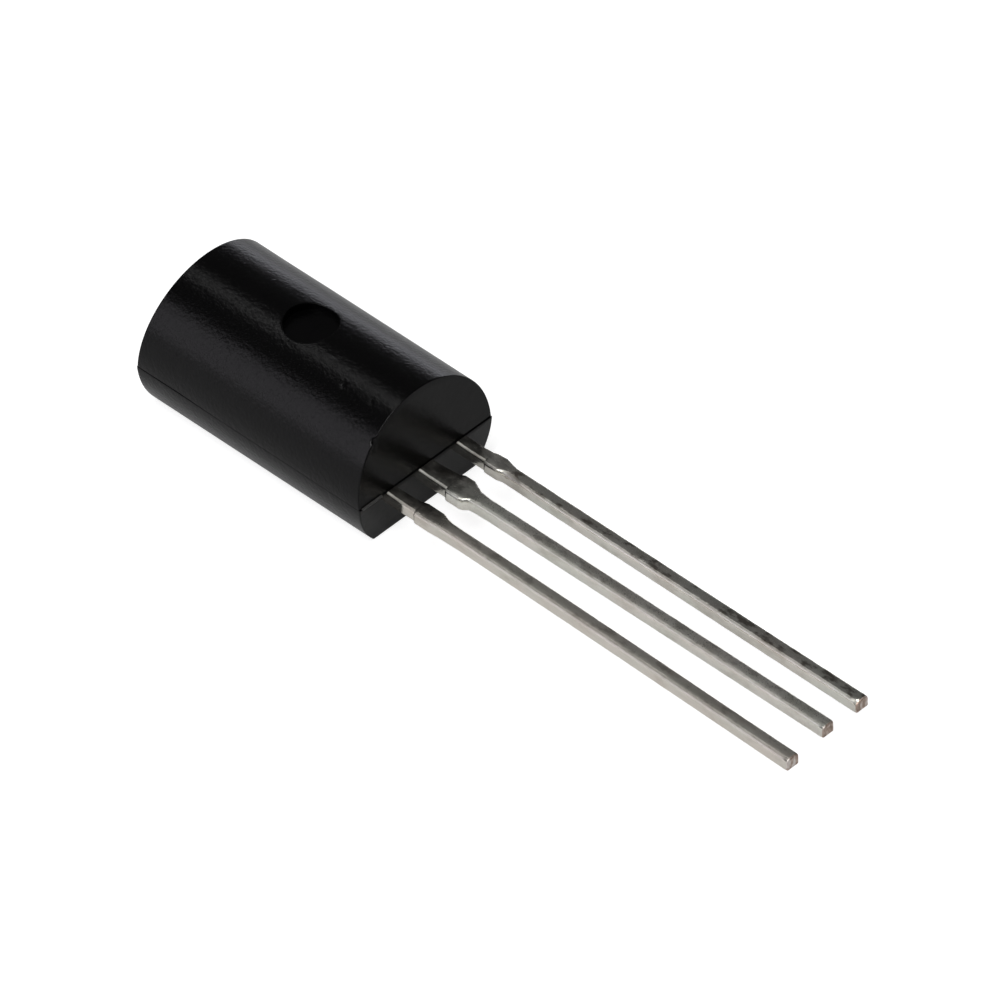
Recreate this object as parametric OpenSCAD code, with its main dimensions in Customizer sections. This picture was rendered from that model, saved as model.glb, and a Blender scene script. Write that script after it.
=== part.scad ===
// Linear voltage regulator in a long half-round plastic case with three leads.
// Millimetres. It lies on the flat of its case: +X along the leads, +Y across
// them, +Z up. The origin is in the middle of the centre lead's section, on
// the seating plane where the leads leave the case.

/* [Case] */
// Length of the case along the leads
case_len = 8.0; // [7.8:0.05:8.2]
// Width of the case at the parting line
case_w = 4.81; // [4.7:0.01:5.1]
// Height of the case from its flat to its crown
case_h = 3.85; // [3.7:0.05:4.1]
// Height of the parting line above the flat
parting_h = 1.42; // [1.28:0.02:1.58]
// Width of the flat
flat_w = 3.7; // [3.5:0.05:4.0]
// Lean of the end faces above the parting line, in degrees
upper_draft = 5; // [3:0.5:7]
// Lean of the end faces below the parting line, in degrees
lower_draft = 4.5; // [3:0.5:7]
// Step between the two mould halves, on the end faces
end_ledge = 0.05; // [0.02:0.01:0.08]
// Step between the two mould halves, along the sides
side_ledge = 0.025; // [0.01:0.005:0.04]

/* [Mould marks] */
// Diameter of the ejector-pin recess in the crown
ejector_d = 1.5; // [1.2:0.05:1.6]
// Depth of the recess below the crown
ejector_depth = 0.2; // [0.15:0.01:0.25]
// Length of the flash left on the seating edge, beside the input lead
flash_w = 0.75; // [0.5:0.05:0.8]
// How far that flash stands out of the end face
flash_out = 0.045; // [0.03:0.005:0.06]
// Distance from the centre lead to the middle of the flash
flash_off = 1.96; // [1.9:0.01:2.0]

/* [Leads] */
// Length of the leads beyond the case
lead_len = 14.05; // [13.8:0.05:14.2]
// How much farther the input lead reaches
input_extra = 0.15; // [0:0.05:0.2]
// Width of the straight run of a lead
lead_w = 0.40; // [0.35:0.01:0.50]
// Thickness of the lead-frame strip
strip_t = 0.38; // [0.35:0.01:0.45]
// Distance between neighbouring leads
pitch = 1.27; // [1.25:0.01:1.30]
// Width of the centre lead where it leaves the case
centre_neck_w = 0.58; // [0.52:0.01:0.62]
// Width of the outer leads where they leave the case
outer_neck_w = 0.39; // [0.36:0.01:0.44]
// Width of the sheared dam bar left on the centre lead
centre_bar_w = 0.76; // [0.68:0.01:0.80]
// Width of the sheared dam bar left on each outer lead
outer_bar_w = 0.52; // [0.50:0.01:0.56]
// Distance from the case to the dam bar
bar_x = 1.0; // [0.9:0.05:1.1]
// Length of the dam bar along the output and centre leads
bar_len = 0.45; // [0.35:0.05:0.6]
// Length of the dam bar along the input lead
input_bar_len = 0.6; // [0.35:0.05:0.7]
// Length over which the dam bar narrows to the straight run
bar_taper = 0.3; // [0.25:0.05:0.5]
// Lean of the output lead towards the centre lead, in degrees
output_lean = 0.25; // [0:0.05:1]
// Radius of the input lead's outward bow
input_bow_r = 400; // [300:50:1200]

/* [Lead frame inside the case] */
// Length of the pad that carries the chip
pad_len = 3.6; // [3.2:0.1:3.8]
// Width of the pad
pad_w = 2.5; // [2.2:0.1:2.8]
// Distance from the seating plane to the pad
pad_x = 2.2; // [2.1:0.05:2.4]
// Length of the anchoring tongue beyond the pad
tongue_len = 1.3; // [1.0:0.1:1.4]
// Width of the tongue
tongue_w = 1.3; // [1.1:0.1:1.6]
// Diameter of the hole in the tongue that the plastic flows through
anchor_d = 0.7; // [0.5:0.05:0.8]
// Length of the bond posts on the outer leads
post_len = 1.25; // [1.1:0.05:1.3]
// Width of the bond posts
post_w = 1.0; // [0.9:0.02:1.1]
// Diameter of the locking hole in each post
post_hole_d = 0.3; // [0.25:0.01:0.35]

/* [Chip and bond wires] */
// Length of the chip
chip_len = 1.6; // [1.4:0.05:1.8]
// Width of the chip
chip_w = 1.4; // [1.2:0.05:1.6]
// Thickness of the chip
chip_t = 0.25; // [0.2:0.01:0.3]
// Thickness of the adhesive under the chip
glue_t = 0.03; // [0.02:0.005:0.05]
// Diameter of the bond wires
wire_d = 0.05; // [0.04:0.005:0.06]

/* [Hidden] */
z_part = strip_t/2;                  // parting line and the leads' top faces
z_flat = z_part - parting_h;
crown = case_h - parting_h;          // crown above the parting line
upper_half_w = case_w/2 - side_ledge;
upper_r = (pow(upper_half_w, 2) + pow(crown, 2))/(2*crown);
flank = (case_w - flat_w)/2;         // how far each lower flank draws in
flank_r = (pow(flank, 2) + pow(parting_h, 2))/(2*flank);
run_x = bar_x + bar_len + bar_taper; // start of a lead's straight run
lean_y = tan(output_lean)*(lead_len - run_x);
bow_x = bar_x + input_bar_len + bar_taper;
input_len = lead_len + input_extra;
bow_steps = 12;                      // chords in the bowed run
shear = 0.04;                        // rounding of the sheared step
pad_taper = 0.9;                     // length over which the neck opens to the pad
tongue_end = -pad_x - pad_len - tongue_len;
post_x = 0.5;                        // posts start this far inside the case
post_shift = 0.03;                   // posts sit a little outboard of the leads
chip_x = -(pad_x + pad_len/2);
glue_rim = 0.05;                     // adhesive showing round the chip
chip_top = z_part + glue_t + chip_t;
bend_r = 0.1;                        // bend of a bond wire over the chip
ball_r = wire_d*1.1;
ball_t = wire_d*0.6;
long_fall = 12;                      // slope of the two long wires, in degrees
short_fall = 30;                     // slope of the short wire
bend_steps = 3;                      // chords in that bend
bond_x = -(post_x + 0.7);            // where the long wires meet the posts
bond_y = pitch + 0.05;
smooth = 160;                        // facets of the large curves
fine = 48;                           // facets of small holes
wire_sides = 8;                      // sides of a bond wire

// Stands a drawing of the cross-section up, and runs it back from the seating plane.
module along_case() {
    translate([-case_len, 0, z_part])
        rotate([90, 0, 90])
            linear_extrude(case_len)
                children();
}

// Runs a drawing of the side view across the whole width of the case.
module across_case() {
    translate([0, case_w, z_part])
        rotate([90, 0, 0])
            linear_extrude(2*case_w)
                children();
}

// The half above the parting line: one arc over the crown, both ends leaning in.
module upper_half() {
    rise = tan(upper_draft)*crown;
    intersection() {
        along_case()
            intersection() {
                translate([0, crown - upper_r])
                    circle(r = upper_r, $fn = smooth);
                translate([-case_w, 0])
                    square([2*case_w, 2*crown]);
            }
        across_case()
            polygon([[-case_len + end_ledge, 0],
                     [-end_ledge, 0],
                     [-end_ledge - rise, crown],
                     [-case_len + end_ledge + rise, crown]]);
    }
}

// The half below it: two flanks that draw in to the flat.
module lower_half() {
    drop = tan(lower_draft)*parting_h;
    intersection() {
        along_case()
            intersection() {
                union() {
                    for (side = [-1, 1])
                        translate([side*(case_w/2 - flank_r), 0])
                            circle(r = flank_r, $fn = smooth);
                }
                translate([-case_w, -parting_h])
                    square([2*case_w, parting_h]);
            }
        across_case()
            polygon([[-case_len, 0],
                     [0, 0],
                     [-drop, -parting_h],
                     [-case_len + drop, -parting_h]]);
    }
}

// Thin flash along the seating edge.
module flash() {
    translate([-0.1, -flash_off - flash_w/2, z_part - 0.06])
        cube([0.1 + flash_out, flash_w, 0.09]);
}

module ejector_recess() {
    translate([-case_len/2, 0, z_part + crown - ejector_depth])
        cylinder(h = 1, d = ejector_d, $fn = smooth);
}

module case() {
    color([0.05, 0.05, 0.055])
        difference() {
            union() {
                upper_half();
                lower_half();
                flash();
            }
            ejector_recess();
            lead_output();
            lead_ground();
            lead_input();
            chip_glue();
            chip();
            wire_output();
            wire_ground();
            wire_input();
        }
}

// Gives a drawing of the lead frame the thickness of the strip.
module strip() {
    translate([0, 0, -strip_t/2])
        linear_extrude(strip_t)
            children();
}

// One edge of a lead outside the case, up to the start of its straight run.
function edge(neck, bar, length) = [
    [bar_x - shear, neck/2],
    [bar_x, bar/2],
    [bar_x + length, bar/2],
    [bar_x + length + bar_taper, lead_w/2]];

// The edge of an outer lead, from the inner end of its bond post.
function outer_edge(half, length) = concat(
    [[-post_x - post_len, half], [-post_x, half], [-post_x, outer_neck_w/2]],
    edge(outer_neck_w, outer_bar_w, length));

// The edge of the centre lead, from the tip of its tongue round the pad.
function centre_edge() = concat(
    [[tongue_end, tongue_w/2],
     [-pad_x - pad_len, tongue_w/2],
     [-pad_x - pad_len, pad_w/2],
     [-pad_x, pad_w/2],
     [-pad_x + pad_taper, centre_neck_w/2]],
    edge(centre_neck_w, centre_bar_w, bar_len));

// The same edge on the lead's other side, listed backwards.
function mirrored(points) = [
    for (i = [len(points) - 1:-1:0]) [points[i][0], -points[i][1]]];

// Distance a bowed run has moved sideways at x.
function bow(x) = input_bow_r - sqrt(pow(input_bow_r, 2) - pow(x - bow_x, 2));

// Cuts the locking hole of a bond post; side is 1 for output, -1 for input.
module locked(side) {
    difference() {
        children();
        translate([-post_x - 0.3, side*(post_w/2 + post_shift - 0.25)])
            circle(d = post_hole_d, $fn = fine);
    }
}

module lead_output() {
    color([0.72, 0.70, 0.67])
        strip()
            translate([0, pitch])
                locked(1)
                    polygon(concat(
                        outer_edge(post_w/2 + post_shift, bar_len),
                        [[lead_len, lead_w/2 - lean_y], [lead_len, -lead_w/2 - lean_y]],
                        mirrored(outer_edge(post_w/2 - post_shift, bar_len))));
}

module lead_input() {
    xs = [for (i = [1:bow_steps]) bow_x + (input_len - bow_x)*i/bow_steps];
    color([0.72, 0.70, 0.67])
        strip()
            translate([0, -pitch])
                locked(-1)
                    polygon(concat(
                        outer_edge(post_w/2 - post_shift, input_bar_len),
                        [for (x = xs) [x, lead_w/2 - bow(x)]],
                        [for (i = [bow_steps - 1:-1:0]) [xs[i], -lead_w/2 - bow(xs[i])]],
                        mirrored(outer_edge(post_w/2 + post_shift, input_bar_len))));
}

// Centre lead, widening inside the case into the pad and its anchoring tongue.
module lead_ground() {
    color([0.72, 0.70, 0.67])
        strip()
            difference() {
                polygon(concat(
                    centre_edge(),
                    [[lead_len, lead_w/2], [lead_len, -lead_w/2]],
                    mirrored(centre_edge())));
                translate([tongue_end + tongue_len/2, 0])
                    circle(d = anchor_d, $fn = fine);
            }
}

// Adhesive between the pad and the chip.
module chip_glue() {
    color([0.6, 0.6, 0.62])
        translate([chip_x - chip_len/2 - glue_rim, -chip_w/2 - glue_rim, z_part])
            cube([chip_len + 2*glue_rim, chip_w + 2*glue_rim, glue_t]);
}

module chip() {
    color([0.3, 0.32, 0.36])
        translate([chip_x - chip_len/2, -chip_w/2, z_part + glue_t])
            cube([chip_len, chip_w, chip_t]);
}

// Rings along a bond wire, each as distance along its run, height, lean of the
// ring from level, radius and stretch: the ball on the chip, the rise, the bend
// over the chip, and the foot where the falling wire meets the lead frame.
function rings(reach, fall) =
    let (bend_z = z_part + tan(fall)*(reach - bend_r*(1 + sin(fall))) - bend_r*cos(fall))
    concat(
        [[0, chip_top, 0, ball_r, 1],
         [0, chip_top + ball_t, 0, ball_r, 1],
         [0, chip_top + ball_t, 0, wire_d/2, 1]],
        [for (i = [0:bend_steps])
            let (turn = (90 + fall)*i/bend_steps)
            [bend_r*(1 - cos(turn)), bend_z + bend_r*sin(turn), turn, wire_d/2, 1]],
        [[reach, z_part, 180, wire_d/2, 1/sin(fall)]]);

// A bond wire between two points in plan, swept through its rings.
module bond_wire(from, to, fall) {
    span = to - from;
    path = rings(norm(span), fall);
    points = [for (ring = path, k = [0:wire_sides - 1])
        let (across = ring[3]*ring[4]*cos(360*k/wire_sides))
        [ring[0] + across*cos(ring[2]),
         ring[3]*sin(360*k/wire_sides),
         ring[1] - across*sin(ring[2])]];
    last = (len(path) - 1)*wire_sides;
    faces = concat(
        [[for (k = [0:wire_sides - 1]) k]],
        [for (i = [0:len(path) - 2], k = [0:wire_sides - 1])
            let (a = i*wire_sides, next = (k + 1) % wire_sides)
            [a + k, a + wire_sides + k, a + wire_sides + next, a + next]],
        [[for (k = [wire_sides - 1:-1:0]) last + k]]);
    color([0.85, 0.65, 0.3])
        translate([from[0], from[1], 0])
            rotate([0, 0, atan2(span[1], span[0])])
                polyhedron(points, faces, convexity = 4);
}

module wire_output() {
    bond_wire([chip_x + chip_len/2 - 0.2, 0.45], [bond_x, bond_y], long_fall);
}

module wire_input() {
    bond_wire([chip_x + chip_len/2 - 0.2, -0.45], [bond_x, -bond_y], long_fall);
}

module wire_ground() {
    bond_wire([chip_x - chip_len/2 + 0.2, 0.35], [chip_x - chip_len/2 - 0.5, 0.75], short_fall);
}

case();
lead_output();
lead_ground();
lead_input();
chip_glue();
chip();
wire_output();
wire_ground();
wire_input();
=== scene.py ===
"""Looks of the linear voltage regulator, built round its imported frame.

Shapes are worked out in millimetres on the frame's own axes, with heights of the case and the leads
measured from the parting plane, which lies at the leads' top faces. Meshes are made in metres.
"""
import math

import bmesh
import bpy
import numpy as np
from mathutils import Matrix, Vector, noise


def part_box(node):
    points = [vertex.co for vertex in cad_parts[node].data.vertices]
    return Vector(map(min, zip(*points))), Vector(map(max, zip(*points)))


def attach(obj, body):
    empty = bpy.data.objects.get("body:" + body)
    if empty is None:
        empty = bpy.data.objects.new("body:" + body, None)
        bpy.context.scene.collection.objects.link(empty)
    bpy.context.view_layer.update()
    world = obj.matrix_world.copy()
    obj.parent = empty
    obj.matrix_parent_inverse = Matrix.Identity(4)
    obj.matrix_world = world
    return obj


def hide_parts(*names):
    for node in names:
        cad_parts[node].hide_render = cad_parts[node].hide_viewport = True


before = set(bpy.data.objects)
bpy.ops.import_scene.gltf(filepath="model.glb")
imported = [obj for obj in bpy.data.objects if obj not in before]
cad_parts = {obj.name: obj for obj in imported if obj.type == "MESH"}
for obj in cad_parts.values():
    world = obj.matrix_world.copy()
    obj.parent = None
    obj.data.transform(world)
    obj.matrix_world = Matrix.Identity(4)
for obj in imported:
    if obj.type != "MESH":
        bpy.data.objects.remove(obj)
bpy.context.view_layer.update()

MM = 0.001


def box_mm(node):
    """Lowest and highest corner of a CAD node, in millimetres."""
    return tuple(np.array(corner)/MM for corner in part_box(node))


case_low, case_high = box_mm("case")
strip_low, strip_high = box_mm("lead_ground")

# ------------------------------------------------------------ sizes, in mm

PARTING_Z = strip_high[2]                 # parting plane in the frame
STRIP_T = strip_high[2] - strip_low[2]
CASE_LEN = -case_low[0]
HALF_W = case_high[1]
CROWN = case_high[2] - PARTING_Z          # heights from the parting plane
LOWER_H = PARTING_Z - case_low[2]
SIDE_LEDGE = 0.018                        # steps where the upper half stops short of the lower
END_LEDGE = 0.034
FAR_LEDGE = 0.012
LEDGE_PLACES = [-CASE_LEN, -6.6, -5.2, -1.6, -0.4, 0]
LEDGE_WORN = [0.010, 0.015, 0.003, 0.0015, 0.0015, 0.003]   # what is left of the side step there
UPPER_DRAFT = math.tan(math.radians(5))
LOWER_DRAFT = math.tan(math.radians(4.5))
FLAT_W = 3.7
UPPER_HALF_W = HALF_W - SIDE_LEDGE
UPPER_R = (UPPER_HALF_W**2 + CROWN**2)/(2*CROWN)
UPPER_C = CROWN - UPPER_R                 # centre of the crown's arc
FLANK = HALF_W - FLAT_W/2
FLANK_R = (FLANK**2 + LOWER_H**2)/(2*FLANK)
RIM_R = 0.022                             # rounding where sides meet end faces
HEEL_R = 0.07                             # rounding where a flank meets the flat
LIP_R = 0.003                             # rounding of the lower half's top edge

EJECTOR_X = -CASE_LEN/2
EJECTOR_R = 0.735
EJECTOR_DEPTH = 0.26
EJECTOR_EDGE = 0.010                      # rounding of the recess's edge
PATCH = 0.97                              # half side of the mesh block round the recess

COLUMNS = 180                             # steps round each half of the case
STATIONS = 170                            # steps along it
CAP_ROWS = 12
RIM_STEPS = 4

# place (x, y, height), radius, depth and way in of the dents in the crown
DENTS = [
    ((-0.15, -1.64, 1.775), 0.13, 0.085, (-0.60, 0.54, -0.58)),
    ((-1.90, -0.99, 2.215), 0.105, 0.019, (0, 0.41, -0.91)),
    ((-0.93, -0.96, 2.229), 0.095, 0.016, (0, 0.40, -0.92)),
]


# ------------------------------------------------------------ mesh helpers

def make_piece(name, points, faces, materials, replaced=(), face_materials=None, sharp=38):
    """A closed mesh of the points, in mm, that rides on the body and stands for the CAD nodes."""
    mesh = bpy.data.meshes.new(name)
    mesh.from_pydata([tuple(p) for p in np.asarray(points)*MM], [], faces)
    for material in materials:
        mesh.materials.append(material)
    if face_materials is not None:
        mesh.polygons.foreach_set("material_index", face_materials)
    work = bmesh.new()
    work.from_mesh(mesh)
    bmesh.ops.remove_doubles(work, verts=work.verts, dist=1e-8)
    bmesh.ops.delete(work, geom=[v for v in work.verts if not v.link_faces], context="VERTS")
    bmesh.ops.recalc_face_normals(work, faces=work.faces)
    work.to_mesh(mesh)
    work.free()
    mesh.polygons.foreach_set("use_smooth", [True]*len(mesh.polygons))
    mesh.set_sharp_from_angle(angle=math.radians(sharp))
    piece = bpy.data.objects.new(name, mesh)
    bpy.context.scene.collection.objects.link(piece)
    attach(piece, "root")
    if replaced:
        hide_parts(*replaced)
    return piece


def bridge(first, second):
    """Quads between two closed loops of as many vertex numbers."""
    count = len(first)
    return [(first[i], first[(i + 1) % count], second[(i + 1) % count], second[i])
            for i in range(count)]


# ------------------------------------------------------------ case

def upper_outline(inset):
    """The crown's outline from +Y to -Y, drawn in by inset, as rows of (y, height)."""
    radius = UPPER_R - inset
    end = math.acos(-UPPER_C/radius)
    turn = np.linspace(end, -end, COLUMNS + 1)
    outline = np.stack([radius*np.sin(turn), UPPER_C + radius*np.cos(turn)], 1)
    outline[[0, -1], 1] = 0
    return outline


def lower_outline(inset):
    """The lower half's outline from +Y to -Y: flank, heel, flat, heel and flank."""
    centre_y = HALF_W - FLANK_R
    heel_z = HEEL_R - LOWER_H
    heel_y = centre_y + math.sqrt((FLANK_R - HEEL_R)**2 - heel_z**2)
    tangent = math.atan2(-heel_z, heel_y - centre_y)
    flank_steps, heel_steps = COLUMNS//5, 6
    flat_steps = COLUMNS - 2*(flank_steps + heel_steps)
    start = math.asin(LIP_R/FLANK_R)
    flank = [(centre_y + (FLANK_R - inset)*math.cos(a), -(FLANK_R - inset)*math.sin(a))
             for a in np.linspace(start, tangent, flank_steps, endpoint=False)]
    heel = [(heel_y + (HEEL_R - inset)*math.cos(a), heel_z - (HEEL_R - inset)*math.sin(a))
            for a in np.linspace(tangent, math.pi/2, heel_steps, endpoint=False)]
    side = np.array(flank + heel)
    flat_y = np.linspace(heel_y, -heel_y, flat_steps + 1)
    flat = np.stack([flat_y, np.full_like(flat_y, inset - LOWER_H)], 1)
    outline = np.concatenate([side, flat, side[::-1]*[-1, 1]])
    outline[[0, -1], 1] = -LIP_R
    return outline


def half_shell(outline, foot_z, end_x):
    """One half of the case as a grid of points [row, column]: up the far end face from foot_z, over
    its rim, along the sides, over the near rim and down the near end face. end_x gives how far the
    near end face reaches at a height."""
    inner, outer = outline(RIM_R), outline(0)
    foot = np.stack([inner[:, 0], np.full(len(inner), foot_z)], 1)
    cap = [foot + (inner - foot)*share for share in np.linspace(0, 1, CAP_ROWS)]
    rim = [(outline(RIM_R*(1 - math.sin(turn))), RIM_R*(1 - math.cos(turn)))
           for turn in np.linspace(0, math.pi/2, RIM_STEPS + 1)[1:]]
    near_end = [(section, end_x(section[:, 1])) for section in cap]
    near_end += [(section, end_x(section[:, 1]) - back) for section, back in rim]
    far_end = [(section, -CASE_LEN - reach) for section, reach in near_end]
    start, stop = far_end[-1][1], near_end[-1][1]
    sides = [(outer, start + (stop - start)*share)
             for share in np.linspace(0, 1, STATIONS + 1)[1:-1]]
    rows = far_end + sides + near_end[::-1]
    return np.array([np.column_stack([reach, section]) for section, reach in rows])


def edge_loop(rows, columns):
    """(row, column) of each point round the open edge of a half shell."""
    last_row, last_column = rows - 1, columns - 1
    return ([(0, j) for j in range(columns)] + [(i, last_column) for i in range(1, rows)]
            + [(last_row, j) for j in range(last_column - 1, -1, -1)]
            + [(i, 0) for i in range(last_row - 1, 0, -1)])


def drawn_in(points, distance, height):
    """The points of a rounded rectangle moved towards its inside, at a height."""
    centre = np.array([-CASE_LEN/2, 0])
    core_half = np.array([CASE_LEN/2, HALF_W]) - RIM_R
    plan = points[:, :2] - centre
    away = plan - np.clip(plan, -core_half, core_half)
    away /= np.maximum(np.linalg.norm(away, axis=1, keepdims=True), 1e-9)
    moved = plan - away*distance + centre
    return np.column_stack([moved, np.full(len(moved), height)])


def crown_height(y):
    return UPPER_C + np.sqrt(UPPER_R**2 - y**2)


def ejector_rings(block):
    """Rings from a block of the crown's mesh down into the ejector-pin recess, and its centre."""
    centre = np.array([EJECTOR_X, 0])
    plan = block[:, :2] - centre
    way = plan/np.linalg.norm(plan, axis=1, keepdims=True)
    mouth = EJECTOR_R + EJECTOR_EDGE
    floor_z = CROWN - EJECTOR_DEPTH
    edge_z = crown_height(mouth*way[:, 1])
    rings = []

    def ring(radius, height):
        rings.append(np.column_stack([centre + way*radius, height*np.ones(len(way))]))

    for share in np.linspace(0, 1, 11)[1:]:
        spot = plan + (way*mouth - plan)*share
        rings.append(np.column_stack([centre + spot, crown_height(spot[:, 1])]))
    for turn in np.linspace(0, math.pi/2, 5)[1:]:
        ring(mouth - EJECTOR_EDGE*math.sin(turn), edge_z - EJECTOR_EDGE*(1 - math.cos(turn)))
    wall_top = edge_z - EJECTOR_EDGE
    for share in (0.33, 0.67, 1):
        ring(EJECTOR_R, wall_top + (floor_z - wall_top)*share)
    for share in np.linspace(1, 0, 11)[1:-1]:
        ring(EJECTOR_R*share, floor_z)
    return rings, np.array([EJECTOR_X, 0, floor_z])


def dented(points):
    """The crown's points pushed in where the moulding has small pits and a chip on its rim."""
    moved = points.copy()
    for place, radius, depth, inward in DENTS:
        near = np.clip(1 - np.sum((points - place)**2, axis=-1)/radius**2, 0, None)
        moved += (depth*near**1.5)[..., None]*inward
    return moved


def ledge_worn(points):
    """The upper half's points moved out a little, so that its step over the lower half comes and
    goes along the sides and is slight at the far end."""
    x = points[..., 0]
    wanted = np.interp(x, LEDGE_PLACES, LEDGE_WORN)
    moved = points.copy()
    moved[..., 0] -= (END_LEDGE - FAR_LEDGE)*np.clip(-2*x/CASE_LEN - 1, 0, 1)
    moved[..., 1] *= 1 + (SIDE_LEDGE - wanted)/UPPER_HALF_W
    return moved


def make_case(material):
    upper = half_shell(upper_outline, 0, lambda z: -END_LEDGE - UPPER_DRAFT*z)
    lower = half_shell(lower_outline, -LIP_R, lambda z: LOWER_DRAFT*z)
    rows, columns = upper.shape[:2]
    middle_row, middle_column = rows//2, columns//2
    block_rows = [i for i in range(rows) if abs(upper[i, middle_column, 0] - EJECTOR_X) < PATCH
                  and upper[i, middle_column, 2] > CROWN - 1e-6]
    block_columns = [j for j in range(columns) if abs(upper[middle_row, j, 1]) < PATCH]
    row_0, row_1 = block_rows[0], block_rows[-1]
    column_0, column_1 = block_columns[0], block_columns[-1]
    points = list(ledge_worn(dented(upper)).reshape(-1, 3)) + list(lower.reshape(-1, 3))
    lower_start = rows*columns
    faces = []
    for i in range(rows - 1):
        for j in range(columns - 1):
            corner = i*columns + j
            quad = (corner, corner + 1, corner + columns + 1, corner + columns)
            if not (row_0 <= i < row_1 and column_0 <= j < column_1):
                faces.append(quad)
            faces.append(tuple(number + lower_start for number in quad))

    def add_loop(loop_points):
        start = len(points)
        points.extend(loop_points)
        return list(range(start, len(points)))

    loop = edge_loop(rows, columns)
    upper_loop = [i*columns + j for i, j in loop]
    lower_loop = [number + lower_start for number in upper_loop]
    lip = np.array([lower[i, j] for i, j in loop])
    last = lower_loop
    for turn in (math.pi/4, math.pi/2):
        turned = add_loop(drawn_in(lip, LIP_R*(1 - math.cos(turn)), -LIP_R*(1 - math.sin(turn))))
        faces += bridge(last, turned)
        last = turned
    faces += bridge(last, upper_loop)

    block = ([(row_0, j) for j in range(column_0, column_1)]
             + [(i, column_1) for i in range(row_0, row_1)]
             + [(row_1, j) for j in range(column_1, column_0, -1)]
             + [(i, column_0) for i in range(row_1, row_0, -1)])
    last = [i*columns + j for i, j in block]
    rings, centre = ejector_rings(np.array([upper[i, j] for i, j in block]))
    for ring in rings:
        added = add_loop(ledge_worn(ring))
        faces += bridge(last, added)
        last = added
    hub = add_loop([centre])[0]
    faces += [(last[i], last[(i + 1) % len(last)], hub) for i in range(len(last))]

    placed = np.array(points) + [0, 0, PARTING_Z]
    return make_piece("moulded_case", placed, faces, [material], ["case"])


FLASH_START, FLASH_STOP = -2.325, -1.60
FLASH_STEPS = 45
FLASH_SECTION = [(-0.06, -0.036), (0.014, -0.033), (0.028, -0.016), (0.032, 0.003),
                 (0.025, 0.018), (0.006, 0.022), (-0.06, 0.012)]


def make_flash(material):
    """The thin ragged fin of plastic on the seating edge, beside the input lead."""
    points, faces = [], []
    for i, y in enumerate(np.linspace(FLASH_START, FLASH_STOP, FLASH_STEPS + 1)):
        share = i/FLASH_STEPS
        taper = min(1, share/0.12, (1 - share)/0.05)**0.5
        rough = (1 + 0.22*noise.noise(Vector((y*9, 3.1, 0.7)))
                 + 0.10*noise.noise(Vector((y*31, 0, 5))))
        for x, z in FLASH_SECTION:
            grow = taper*rough if x > 0 else 1
            sink = 1 if x > 0 else 0.7 + 0.3*taper
            points.append((x*grow, y, z*sink*(0.75 + 0.25*taper) + PARTING_Z))
    size = len(FLASH_SECTION)
    for i in range(FLASH_STEPS):
        first = range(i*size, (i + 1)*size)
        faces += bridge(list(first), [number + size for number in first])
    faces.append(tuple(range(size)))
    faces.append(tuple(range(FLASH_STEPS*size, (FLASH_STEPS + 1)*size)))
    return make_piece("parting_flash", points, faces, [material], sharp=50)


# ------------------------------------------------------------ leads

EDGE_R = 0.03                             # rounding of the edges
TOP_EDGE_R = 0.045
TOP_LEAN = 0.13                           # slope of the crowned top face at its edges
SECTION_STEPS = 7
STATION_STEP = 0.045                      # between sections along a lead
STATION_GAP = 0.0008                      # sections nearer than this count as one
SHOWN_LEN = 0.25                          # over which a lead takes on its worn form past the case
SIDE_WAVER, TOP_WAVER, ROLL_WAVER = 0.004, 0.002, 0.12
TOP_SINK = 0.012                          # the top face below the parting plane
MINUS_IN = 0.012                          # how far a tip is drawn in at its -Y side
TIP_LEN = 0.12
CUT_SMEAR = 0.06                          # length of the tip's sides that the cutter smeared
CUT_DIP = 0.006                           # hollow in the cut end
NICK_FACE = np.array([0.295, -0.447, 0.844])
NICK_PRESS = 0.65                         # share of the corner's overhang that is pressed in

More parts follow.
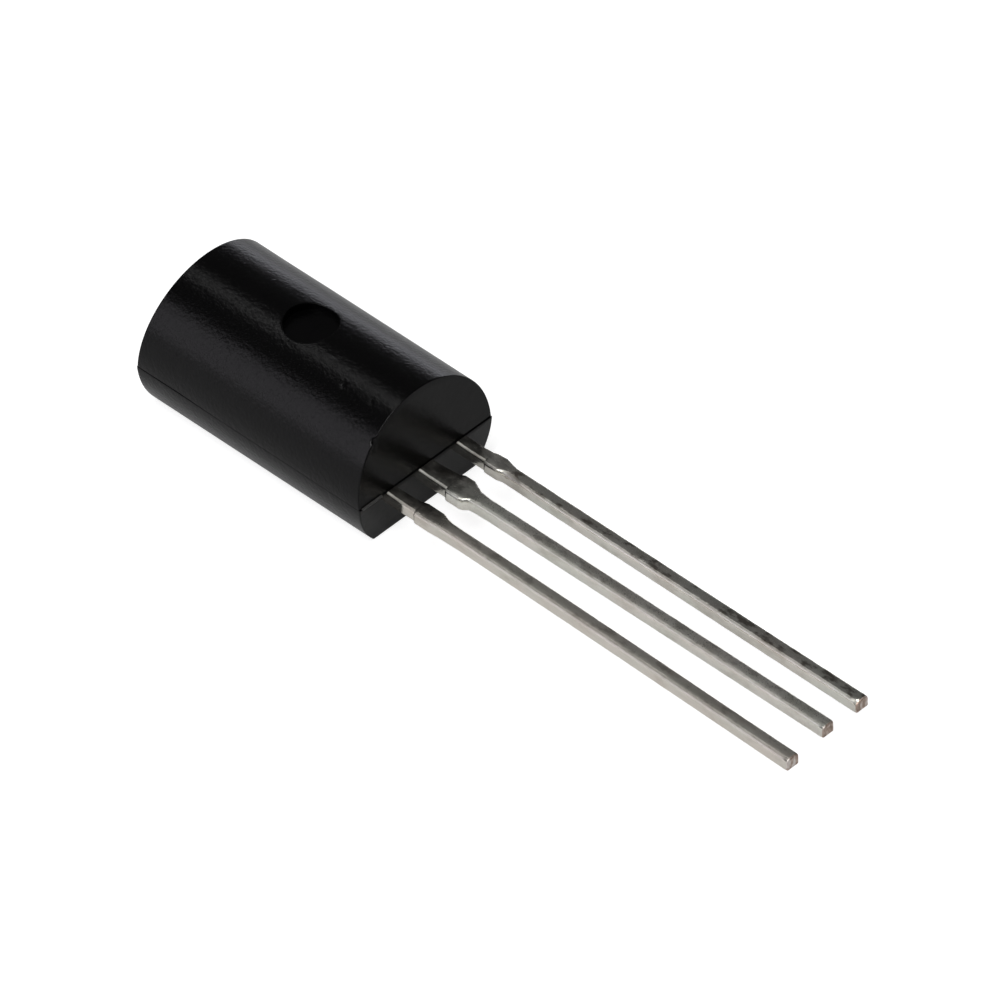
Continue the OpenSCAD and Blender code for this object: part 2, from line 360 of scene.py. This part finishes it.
# Each side of a lead as (x, y) points, from the inner end of the lead frame to the tip; the radius
# of the edge rolled over by the punch, as (x, radius); how far the tip is drawn in at its top, its
# +Y side and its foot; how deep its top corner is nicked; and its tin
LEADS = {
    "lead_output": {
        "plus": [(-1.75, 1.80), (-0.5, 1.80), (-0.499, 1.455), (0.60, 1.470), (0.94, 1.497),
                 (1.08, 1.540), (1.38, 1.560), (1.60, 1.505), (1.82, 1.464), (10.0, 1.429),
                 (14.05, 1.430)],
        "minus": [(-1.75, 0.80), (-0.5, 0.80), (-0.499, 1.085), (0.985, 1.087), (0.998, 1.055),
                  (1.010, 1.042), (1.04, 1.035), (1.42, 1.036), (1.46, 1.043), (1.60, 1.082),
                  (1.70, 1.086), (3.2, 1.070), (10.0, 1.033), (14.05, 1.020)],
        "rolled": [(-1.75, 0.075), (0.9, 0.075), (1.45, 0.085), (1.72, 0.15), (1.95, 0.14),
                   (2.2, 0.09), (14.05, 0.10)],
        "drawn_in": (0.030, 0.004, 0.040), "nick": 0.104, "seed": 3.0,
        "tin": {"gloss": 0.17, "wear": 1.0, "shade": (1.0, 0.985, 0.955), "neck": 0.252},
    },
    "lead_ground": {
        "plus": [(-7.1, 0.65), (-5.8, 0.65), (-5.799, 1.25), (-2.2, 1.25), (-1.3, 0.26),
                 (0.05, 0.262), (0.5, 0.285), (0.90, 0.330), (1.01, 0.395), (1.34, 0.405),
                 (1.58, 0.300), (1.74, 0.232), (2.1, 0.200), (14.05, 0.200)],
        "minus": [(-7.1, -0.65), (-5.8, -0.65), (-5.799, -1.25), (-2.2, -1.25), (-1.3, -0.30),
                  (0.985, -0.302), (0.998, -0.352), (1.010, -0.370), (1.04, -0.378), (1.46, -0.375),
                  (1.58, -0.345), (1.70, -0.238), (1.84, -0.218), (2.4, -0.203), (14.05, -0.200)],
        "rolled": [(-7.1, 0.075), (0.9, 0.075), (1.3, 0.08), (1.52, 0.10), (1.70, 0.11),
                   (1.9, 0.09), (14.05, 0.10)],
        "drawn_in": (0.050, 0.035, 0.045), "nick": 0, "seed": 11.0,
        "tin": {"gloss": 0.262, "wear": 0.45, "shade": (1.0, 0.985, 0.955), "neck": 0.25},
    },
    "lead_input": {
        "plus": [(-1.75, -0.80), (-0.5, -0.80), (-0.499, -1.090), (0.32, -1.082), (0.80, -1.060),
                 (0.99, -1.005), (1.06, -0.985), (1.62, -0.990), (1.80, -1.055), (2.02, -1.100),
                 (2.5, -1.105), (3.5, -1.108), (6.0, -1.132), (9.0, -1.176), (12.0, -1.232),
                 (14.2, -1.258)],
        "minus": [(-1.75, -1.80), (-0.5, -1.80), (-0.499, -1.455), (0.985, -1.457), (0.998, -1.490),
                  (1.010, -1.506), (1.04, -1.515), (1.50, -1.515), (1.90, -1.490), (2.5, -1.480),
                  (3.5, -1.490), (6.0, -1.520), (9.0, -1.568), (12.0, -1.620), (14.2, -1.664)],
        "rolled": [(-1.75, 0.075), (0.9, 0.075), (1.3, 0.085), (1.8, 0.09), (14.2, 0.10)],
        "drawn_in": (0.040, 0.004, 0.030), "nick": 0, "seed": 23.0,
        # the input lead's tin is darker (0.88 times the warm tint): painted shade for the less
        # light its sides reflect
        "tin": {"gloss": 0.28, "wear": 0.40, "shade": (0.88, 0.845, 0.805), "neck": 0.25},
    },
}


def lead_stations(outline, length):
    """Where a lead gets a section: at each corner of its outline and evenly between."""
    corners = {round(x, 4) for side in ("plus", "minus") for x, _ in outline[side]}
    steps = {round(x, 4) for x in np.arange(-0.1, length - TIP_LEN, STATION_STEP)}
    tip = {round(length - TIP_LEN*(1 - math.sin(turn)), 4) for turn in np.linspace(0, math.pi/2, 8)}
    stations = sorted(corners | steps | tip)
    kept = [stations[0]]
    for x in stations[1:]:
        if x - kept[-1] > STATION_GAP:
            kept.append(x)
    return kept


def lead_section(minus, plus, top, foot, rolled_r, lean):
    """Rounded rectangle of a lead's section, as (y, height) points. Its top is crowned, and leans
    away by this angle at both edges; inside the case it lies flat, so the chip sits on the pad."""
    square = math.pi/2
    corners = [(minus, foot, EDGE_R, 2*square, 3*square), (plus, foot, EDGE_R, 3*square, 4*square),
               (plus, top, TOP_EDGE_R, 0, square - lean),
               (minus, top, rolled_r, square + lean, 2*square)]
    points = []
    for y, z, radius, start, stop in corners:
        centre_y = y + (radius if y == minus else -radius)
        centre_z = z + radius if z == foot else z - radius*math.cos(lean)
        for turn in np.linspace(start, stop, SECTION_STEPS):
            points.append((centre_y + radius*math.cos(turn), centre_z + radius*math.sin(turn)))
    first, last = points[3*SECTION_STEPS - 1][0], points[3*SECTION_STEPS][0]
    crowned = [(first + (last - first)*share, top + (first - last)*math.tan(lean)*share*(1 - share))
               for share in (0.2, 0.4, 0.6, 0.8)]
    return points[:3*SECTION_STEPS] + crowned + points[3*SECTION_STEPS:]


def nicked(point, corner, depth):
    """The point, pressed in if it stands out past the plane that takes the corner off."""
    over = max(0, np.dot(np.subtract(point, corner), NICK_FACE) + depth) if depth else 0
    return tuple(point - NICK_FACE*over*NICK_PRESS + [0, 0, PARTING_Z])


def make_lead(name, outline, cut_end):
    """A lead lofted through its sections, drawn in at its tip by the cutter."""
    length = outline["plus"][-1][0]
    # a rolled edge gets its own darker copy of the tin: painted shade that tones down its
    # highlights
    materials = [tin_finish("tin_" + name, length, **outline["tin"]), cut_end,
                 tin_finish("shaded_rolled_edge_" + name, length, rolled=True, **outline["tin"])]
    top_in, plus_in, foot_in = outline["drawn_in"]
    sides = {side: np.array(outline[side]).T for side in ("plus", "minus", "rolled")}
    points, faces, marks = [], [], []
    stations = lead_stations(outline, length)
    for x in stations:
        shown = min(1, max(0, x/SHOWN_LEN))

        def waver(rate, row):
            return noise.noise(Vector((x*rate, outline["seed"], row)))*shown

        along = min(1, max(0, (x - length + TIP_LEN)/TIP_LEN))
        drop = 1 - math.sqrt(1 - along**2)
        plus = np.interp(x, *sides["plus"]) + SIDE_WAVER*waver(3.1, 0.0) - plus_in*drop
        minus = np.interp(x, *sides["minus"]) + SIDE_WAVER*waver(2.7, 4.0) + MINUS_IN*drop
        top = TOP_WAVER*waver(1.9, 8.0) - TOP_SINK*shown - top_in*drop
        foot = -STRIP_T + foot_in*drop
        rolled_r = np.interp(x, *sides["rolled"])*(
            1 + ROLL_WAVER*waver(4.7, 12.0) + ROLL_WAVER*waver(13.0, 16.0))
        section = lead_section(minus, plus, top, foot, rolled_r, TOP_LEAN*shown)
        points += [nicked((x, y, z), (length, sides["minus"][1][-1], 0), outline["nick"])
                   for y, z in section]
    size = len(section)
    rolled_steps = range(size - SECTION_STEPS, size - 3)
    for i in range(len(stations) - 1):
        first = list(range(i*size, (i + 1)*size))
        faces += bridge(first, [number + size for number in first])
        at_tip = stations[i] > length - CUT_SMEAR
        marks += [1 if at_tip else 2 if step in rolled_steps else 0 for step in range(size)]
    faces.append(tuple(range(size)))
    marks.append(0)
    last = list(range((len(stations) - 1)*size, len(stations)*size))
    rim = np.array([points[number] for number in last])
    hub = rim.mean(0)
    for share in (0.85, 0.6, 0.3):
        ring = hub + (rim - hub)*share
        start = len(points)
        for spot in ring:
            dip = CUT_DIP*(1 + noise.noise(Vector((spot[1]*14, spot[2]*14, outline["seed"]))))
            points.append((spot[0] - dip, spot[1], spot[2]))
        added = list(range(start, start + size))
        faces += bridge(last, added)
        marks += [1]*size
        last = added
    points.append(tuple(hub - [CUT_DIP, 0, 0]))
    faces += [(last[i], last[(i + 1) % size], len(points) - 1) for i in range(size)]
    marks += [1]*size
    return make_piece(name.replace("lead", "tinned_lead"), points, faces, materials,
                      [name], marks)


# ------------------------------------------------------------ materials

class Finish:
    """A node material with one Principled shader, whose textures are laid out in millimetres."""

    def __init__(self, name, **settings):
        self.material = bpy.data.materials.new(name)
        self.material.use_nodes = True
        self.tree = self.material.node_tree
        self.shader = self.tree.nodes["Principled BSDF"]
        for socket, value in settings.items():
            self.shader.inputs[socket.replace("_", " ")].default_value = value
        self.place = self.add("ShaderNodeTexCoord").outputs["Object"]

    def add(self, kind, **settings):
        node = self.tree.nodes.new(kind)
        for key, value in settings.items():
            setattr(node, key, value)
        return node

    def join(self, source, target):
        self.tree.links.new(source, target)

    def coordinates(self, stretch=(1, 1, 1)):
        scaled = self.add("ShaderNodeVectorMath", operation="MULTIPLY")
        self.join(self.place, scaled.inputs[0])
        scaled.inputs[1].default_value = [s/MM for s in stretch]
        return scaled.outputs[0]

    def noise(self, scale, detail=3.0, roughness=0.55, stretch=(1, 1, 1)):
        texture = self.add("ShaderNodeTexNoise")
        self.join(self.coordinates(stretch), texture.inputs["Vector"])
        for socket, value in (("Scale", scale), ("Detail", detail), ("Roughness", roughness)):
            texture.inputs[socket].default_value = value
        return texture.outputs["Fac"]

    def ramp(self, value, *stops):
        """Maps a value to colours, or to grey levels, at stops of (position, colour or level)."""
        ramp = self.add("ShaderNodeValToRGB")
        elements = ramp.color_ramp.elements
        while len(elements) < len(stops):
            elements.new(0.5)
        for element, (position, colour) in zip(elements, stops):
            element.position = position
            level = [colour]*3 if isinstance(colour, (int, float)) else list(colour)
            element.color = level + [1]
        self.join(value, ramp.inputs["Fac"])
        return ramp.outputs["Color"]

    def mix(self, first, second, share, blend="MIX"):
        node = self.add("ShaderNodeMix", data_type="RGBA", blend_type=blend)
        for socket, value in ((0, share), (6, first), (7, second)):
            if isinstance(value, (int, float, tuple)):
                node.inputs[socket].default_value = value
            else:
                self.join(value, node.inputs[socket])
        return node.outputs[2]

    def bump(self, height, depth, strength=1.0, under=None):
        """Relief of a depth in millimetres, laid over another relief if one is given."""
        node = self.add("ShaderNodeBump")
        if isinstance(strength, (int, float)):
            node.inputs["Strength"].default_value = strength
        else:
            self.join(strength, node.inputs["Strength"])
        node.inputs["Distance"].default_value = depth*MM
        self.join(height, node.inputs["Height"])
        if under is not None:
            self.join(under, node.inputs["Normal"])
        return node.outputs["Normal"]

    def fade(self, axis, start, stop, before, after):
        """Goes from one value to another between two places, in millimetres, along an axis."""
        place = self.add("ShaderNodeSeparateXYZ")
        self.join(self.coordinates(), place.inputs[0])
        node = self.add("ShaderNodeMapRange")
        self.join(place.outputs[axis], node.inputs["Value"])
        for socket, value in (("From Min", start), ("From Max", stop), ("To Min", before),
                              ("To Max", after)):
            node.inputs[socket].default_value = value
        return node.outputs["Result"]

    def paint(self, **sockets):
        for socket, output in sockets.items():
            self.join(output, self.shader.inputs[socket.replace("_", " ")])
        return self.material


def grey(level):
    return (level, level, level, 1.0)


def moulding_finish():
    """Black epoxy moulding compound: satin, with a fine grain and a faint flow in its tone."""
    finish = Finish("black_epoxy", IOR=1.28)
    flow = finish.noise(0.9, detail=4)
    grain = finish.noise(26, detail=5, roughness=0.62)
    speck = finish.noise(75, detail=2)
    tone = finish.ramp(flow, (0.3, (0.0008, 0.0008, 0.0009)), (0.7, (0.0014, 0.0013, 0.0015)))
    fleck = finish.ramp(speck, (0.66, 0.0), (0.74, 0.008))
    gloss = finish.ramp(grain, (0.25, 0.16), (0.75, 0.24))
    relief = finish.bump(finish.noise(2.2, detail=2), 0.004)
    relief = finish.bump(finish.noise(10, detail=3, stretch=(1.1, 0.9, 0.9)), 0.011, under=relief,
                         strength=finish.fade("X", -0.5, -0.2, 1.0, 0.25))
    relief = finish.bump(grain, 0.0035, under=relief)
    tone = finish.mix(tone, fleck, 1.0, "ADD")
    return finish.paint(Base_Color=tone, Roughness=gloss, Normal=relief)


# where a lead's looks change, as (start, stop) along it
NECK_LINE = (0.98, 1.04)
SHEARED = (1.7, 2.2)                      # past the sheared dam bar
TIP_FADE = (0.2, 0.1)                     # from the tip
NECK_SIDE_ROUGHNESS = 0.14
WORKED_ROUGHNESS = 0.5                    # of a rolled edge on the neck and at the tip


def tin_finish(name, length, gloss, neck, wear, shade, rolled=False):
    """Tin on a lead: bright grey, drawn out along the strip and dented a little, with brownish dull
    stains and dark smears on its top face; wear scales the dents and smears. The shade tuple tints
    the tone warm, and on the input lead also darkens it: painted shade for the less light that
    lead's sides reflect. The top of the neck is mottled; a rolled edge is dull on the neck and
    where the cutter took it, and its tone is painted darker, most at the tip: painted shade that
    tones down the highlights it catches."""
    finish = Finish(name, Metallic=1.0)
    tip = [length - back for back in TIP_FADE]
    stain = finish.noise(2.4, detail=4, roughness=0.65, stretch=(0.45, 1, 1))
    tint = finish.noise(1.3, detail=3, stretch=(0.5, 1, 1))
    drawn = finish.noise(9, detail=4, roughness=0.6, stretch=(0.06, 1, 1))
    smear = finish.noise(4.2, detail=4, roughness=0.6, stretch=(0.5, 1, 1))
    dimple = finish.noise(4.5, detail=3, roughness=0.5, stretch=(0.7, 1, 1))
    grain = finish.noise(30, detail=2)
    on_top = finish.fade("Z", PARTING_Z - 0.035, PARTING_Z - 0.014, 0, 1)
    away = finish.fade("X", 1.2, 1.8, 0, 1)
    tone = finish.ramp(stain, (0.34, (0.80, 0.78, 0.74)), (0.50, (0.94, 0.93, 0.90)),
                       (0.7, (0.99, 0.985, 0.965)))
    tinge = finish.ramp(tint, (0.38, (1.0, 0.98, 0.96)), (0.52, (0.99, 0.99, 0.97)),
                        (0.62, (0.97, 0.99, 0.96)))
    tone = finish.mix(tone, tinge, 1.0, "MULTIPLY")
    tone = finish.mix(tone, finish.ramp(drawn, (0.3, 0.92), (0.7, 1.0)), 1.0, "MULTIPLY")
    # shade: the tin's warm tint, and on the input lead also a painted shade that darkens it
    tone = finish.mix(tone, (*shade, 1.0), 1.0, "MULTIPLY")
    mottled = finish.mix(finish.ramp(smear, (0.44, 0.66), (0.56, 1.0)), grey(1.0),
                         finish.fade("X", *SHEARED, 0, 1))
    mottled = finish.mix(grey(1.0), mottled, on_top)
    # a rolled edge's tone is painted darker, 0.62 to 0.66 along the lead and down to 0.45 at the
    # tip: painted shade that tones down the highlights the edge catches
    edge = finish.mix(finish.fade("X", *NECK_LINE, 0.62, 0.66),
                      finish.fade("X", *tip, 1, 0.45), 1.0, "MULTIPLY")
    tone = finish.mix(tone, edge if rolled else mottled, 1.0, "MULTIPLY")
    smeared = (1 - 0.62*wear, 1 - 0.64*wear, 1 - 0.66*wear)
    dark = finish.ramp(smear, (0.52, (1.0, 1.0, 1.0)), (0.61, smeared))
    dark = finish.mix(grey(1.0), dark, finish.mix(on_top, away, 1.0, "MULTIPLY"))
    tone = finish.mix(tone, dark, 1.0, "MULTIPLY")
    dents = finish.mix(finish.fade("X", 0.7, 1.2, 0.12, wear),
                       finish.fade("X", 1.0, 1.6, 1.3, wear), on_top)
    relief = finish.bump(dimple, 0.012, strength=dents)
    relief = finish.bump(drawn, 0.004, under=relief)
    relief = finish.bump(grain, 0.002, strength=finish.fade("X", 0.9, 1.4, 0.3, 1), under=relief)
    if rolled:
        rough = finish.mix(grey(WORKED_ROUGHNESS), finish.ramp(grain, (0.3, 0.32), (0.7, 0.42)),
                           finish.fade("X", *NECK_LINE, 0, 1))
        rough = finish.mix(rough, grey(WORKED_ROUGHNESS),
                           finish.fade("X", *tip, 0, 1))
    else:
        top = finish.ramp(dimple, (0.42, neck - 0.02), (0.58, neck + 0.02))
        start = finish.mix(grey(NECK_SIDE_ROUGHNESS), top, on_top)
        along = finish.mix(finish.fade("X", 0.9, 1.4, 0, 1), finish.fade("X", 1.6, 2.1, 0, 1),
                           on_top)
        rough = finish.mix(start, finish.ramp(grain, (0.3, gloss), (0.7, gloss + 0.10)), along)
    return finish.paint(Base_Color=tone, Roughness=rough, Normal=relief)


def cut_finish():
    """The cut end of a lead: bare copper alloy, smeared with tin towards its rim."""
    finish = Finish("cut_copper", Metallic=1.0)
    smear = finish.noise(7, detail=4, roughness=0.6, stretch=(1, 1, 0.5))
    grain = finish.noise(45, detail=3)
    tone = finish.ramp(smear, (0.38, (0.36, 0.28, 0.23)), (0.50, (0.60, 0.48, 0.41)),
                       (0.62, (0.84, 0.79, 0.75)))
    gloss = finish.ramp(grain, (0.3, 0.50), (0.7, 0.62))
    return finish.paint(Base_Color=tone, Roughness=gloss, Normal=finish.bump(grain, 0.004))


def flash_finish():
    """Thin resin squeezed out between the mould halves, paler than the body: partly the thin
    resin's own tone, partly a painted highlight for the light its lip catches.
    """
    finish = Finish("resin_flash", IOR=1.45)
    smear = finish.noise(14, detail=3)
    # paler tone: thin resin's own colour, and partly a painted highlight for the lit lip
    tone = finish.ramp(smear, (0.3, (0.038, 0.038, 0.037)), (0.7, (0.072, 0.070, 0.067)))
    gloss = finish.ramp(smear, (0.3, 0.35), (0.7, 0.5))
    return finish.paint(Base_Color=tone, Roughness=gloss, Normal=finish.bump(smear, 0.004))


def silver_glue_finish():
    finish = Finish("silver_glue", Metallic=0.4)
    grain = finish.noise(40, detail=4)
    tone = finish.ramp(grain, (0.35, (0.42, 0.42, 0.43)), (0.65, (0.62, 0.62, 0.63)))
    gloss = finish.ramp(grain, (0.3, 0.45), (0.7, 0.6))
    return finish.paint(Base_Color=tone, Roughness=gloss, Normal=finish.bump(grain, 0.004))


def silicon_finish():
    finish = Finish("silicon", Metallic=0.5)
    cells = finish.noise(9, detail=5, stretch=(1, 1, 0.1))
    tone = finish.ramp(cells, (0.4, (0.10, 0.12, 0.17)), (0.6, (0.26, 0.28, 0.33)))
    gloss = finish.ramp(cells, (0.3, 0.12), (0.7, 0.22))
    return finish.paint(Base_Color=tone, Roughness=gloss, Normal=finish.bump(cells, 0.001))


def gold_finish():
    finish = Finish("gold_wire", Metallic=1.0)
    grain = finish.noise(60, detail=3)
    tone = finish.ramp(grain, (0.35, (0.80, 0.58, 0.24)), (0.65, (0.88, 0.68, 0.34)))
    gloss = finish.ramp(grain, (0.3, 0.2), (0.7, 0.3))
    return finish.paint(Base_Color=tone, Roughness=gloss, Normal=finish.bump(grain, 0.001))


def coat_node(node, material):
    """Gives a CAD node that stays as it is a better material."""
    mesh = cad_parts[node].data
    if not mesh.materials:
        mesh.materials.append(material)
    for i in range(len(mesh.materials)):
        mesh.materials[i] = material


# ------------------------------------------------------------ studio

FLOOR_REACH = 0.36                        # metres, as the rest of the studio
COVE_REACH = 0.60
COVE_HEIGHT = 0.10
CAMERA_GLOW, GLOSSY_GLOW = 0.80, 0.16     # the paper's own light, to the camera and in reflections
WORLD_LEVEL = 0.085
CENTRE = Vector((0.003, 0, 0))


def make_floor():
    """A pale floor that curves up into a low cove all round."""
    floor_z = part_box("case")[0].z - 0.000002
    profile = [(FLOOR_REACH*share**2, 0) for share in np.linspace(0.1, 1, 24)]
    profile += [(FLOOR_REACH + (COVE_REACH - FLOOR_REACH)*math.sin(turn),
                 COVE_HEIGHT*(1 - math.cos(turn))) for turn in np.linspace(0, math.pi/2, 17)[1:]]
    turns = np.linspace(0, 2*math.pi, 96, endpoint=False)
    points = [CENTRE + Vector((reach*math.cos(turn), reach*math.sin(turn), floor_z + rise))
              for reach, rise in profile for turn in turns]
    count = len(turns)
    faces = [tuple(range(count))]
    for i in range(len(profile) - 1):
        first = list(range(i*count, (i + 1)*count))
        faces += bridge([number + count for number in first], first)
    mesh = bpy.data.meshes.new("studio_floor")
    mesh.from_pydata(points, [], faces)
    mesh.polygons.foreach_set("use_smooth", [True]*len(mesh.polygons))
    floor = bpy.data.objects.new("studio_floor", mesh)
    bpy.context.scene.collection.objects.link(floor)
    mesh.materials.append(paper_finish())


def paper_finish():
    """White paper: it takes the object's shadow, and gets a little light of its own on top, enough
    straight from the camera to make the picture's background white."""
    finish = Finish("white_paper", Roughness=0.45)
    fibres = finish.noise(1.5, detail=3)
    finish.paint(Base_Color=finish.ramp(fibres, (0.3, 0.56), (0.7, 0.59)))
    path = finish.add("ShaderNodeLightPath")
    levels = []
    for ray, glow in (("Is Camera Ray", CAMERA_GLOW), ("Is Glossy Ray", GLOSSY_GLOW)):
        level = finish.add("ShaderNodeMath", operation="MULTIPLY")
        finish.join(path.outputs[ray], level.inputs[0])
        level.inputs[1].default_value = glow
        levels.append(level.outputs[0])
    total = finish.add("ShaderNodeMath", operation="ADD")
    for i, level in enumerate(levels):
        finish.join(level, total.inputs[i])
    glow = finish.add("ShaderNodeEmission")
    finish.join(total.outputs[0], glow.inputs["Strength"])
    both = finish.add("ShaderNodeAddShader")
    finish.join(finish.shader.outputs[0], both.inputs[0])
    finish.join(glow.outputs[0], both.inputs[1])
    finish.join(both.outputs[0], finish.tree.nodes["Material Output"].inputs["Surface"])
    return finish.material


# name: direction from the object, distance, reach along the body and across it in metres, watts,
# colour
LAMPS = {
    "key": ((0.05, -0.35, 0.94), 0.55, 0.18, 0.42, 1.9, (1, 1, 1)),
    "overhead_strip": ((-0.52, 0.055, 0.853), 0.50, 0.10, 0.022, 0.072, (1, 1, 1)),
    "side": ((-0.52, -0.758, 0.395), 0.50, 0.20, 0.31, 0.33, (1, 0.97, 1.04)),
    "horizon": ((-0.52, 0.855, 0.080), 0.45, 0.26, 0.09, 0.152, (0.97, 0.98, 1.07)),
}


def make_lamps():
    for name, (direction, distance, width, height, watts, colour) in LAMPS.items():
        lamp = bpy.data.lights.new(name, "AREA")
        lamp.shape = "RECTANGLE"
        lamp.size, lamp.size_y = width, height
        lamp.energy = watts
        lamp.color = colour
        holder = bpy.data.objects.new(name, lamp)
        away = Vector(direction).normalized()
        along = (Vector((1, 0, 0)) - away*away.x).normalized()
        holder.matrix_world = Matrix((along, away.cross(along), away)).transposed().to_4x4()
        holder.location = CENTRE + away*distance
        holder.visible_camera = False
        bpy.context.scene.collection.objects.link(holder)


def make_world():
    world = bpy.data.worlds.new("studio")
    world.use_nodes = True
    background = world.node_tree.nodes["Background"]
    background.inputs["Color"].default_value = (1, 1, 1, 1)
    background.inputs["Strength"].default_value = WORLD_LEVEL
    bpy.context.scene.world = world


# The camera, as fitted to the picture's outlines: its turn about the upright axis, height and roll
# in degrees, its distance, where the middle of the centre lead, at the parting plane, stands from
# the middle of the picture, and the picture's scale there
CAMERA_TURN, CAMERA_HEIGHT, CAMERA_ROLL = 45.3991, 43.257, -1.9055
CAMERA_DISTANCE = 0.490046
ORIGIN_RIGHT, ORIGIN_UP = -0.0018676, 0.0009154
PICTURE_SCALE = 39378.3                   # pixels a metre, in a picture 1000 pixels wide
PICTURE_W = 1000


def make_camera():
    turn, height, roll = (math.radians(a) for a in (CAMERA_TURN, CAMERA_HEIGHT, CAMERA_ROLL))
    back = Vector((math.sin(turn)*math.cos(height), -math.cos(turn)*math.cos(height),
                   math.sin(height)))
    right = Vector((math.cos(turn), math.sin(turn), 0))
    up = back.cross(right)
    tilt = Matrix.Rotation(roll, 3, back)
    right, up = tilt @ right, tilt @ up
    origin = Vector((0, 0, PARTING_Z*MM))
    place = origin + back*CAMERA_DISTANCE - right*ORIGIN_RIGHT - up*ORIGIN_UP
    lens = bpy.data.cameras.new("camera")
    lens.sensor_width = 36
    lens.lens = PICTURE_SCALE*CAMERA_DISTANCE*lens.sensor_width/PICTURE_W
    lens.clip_start, lens.clip_end = 0.05, 5
    camera = bpy.data.objects.new("camera", lens)
    camera.matrix_world = Matrix((right, up, back)).transposed().to_4x4()
    camera.location = place
    bpy.context.scene.collection.objects.link(camera)
    bpy.context.scene.camera = camera


# ------------------------------------------------------------ the scene

make_case(moulding_finish())
make_flash(flash_finish())
cut_end = cut_finish()
for lead_name, lead_outline in LEADS.items():
    make_lead(lead_name, lead_outline, cut_end)
coat_node("chip_glue", silver_glue_finish())
coat_node("chip", silicon_finish())
gold = gold_finish()
for wire in ("wire_output", "wire_ground", "wire_input"):
    coat_node(wire, gold)

make_floor()
make_lamps()
make_world()
make_camera()
bpy.context.scene.view_settings.view_transform = "Standard"
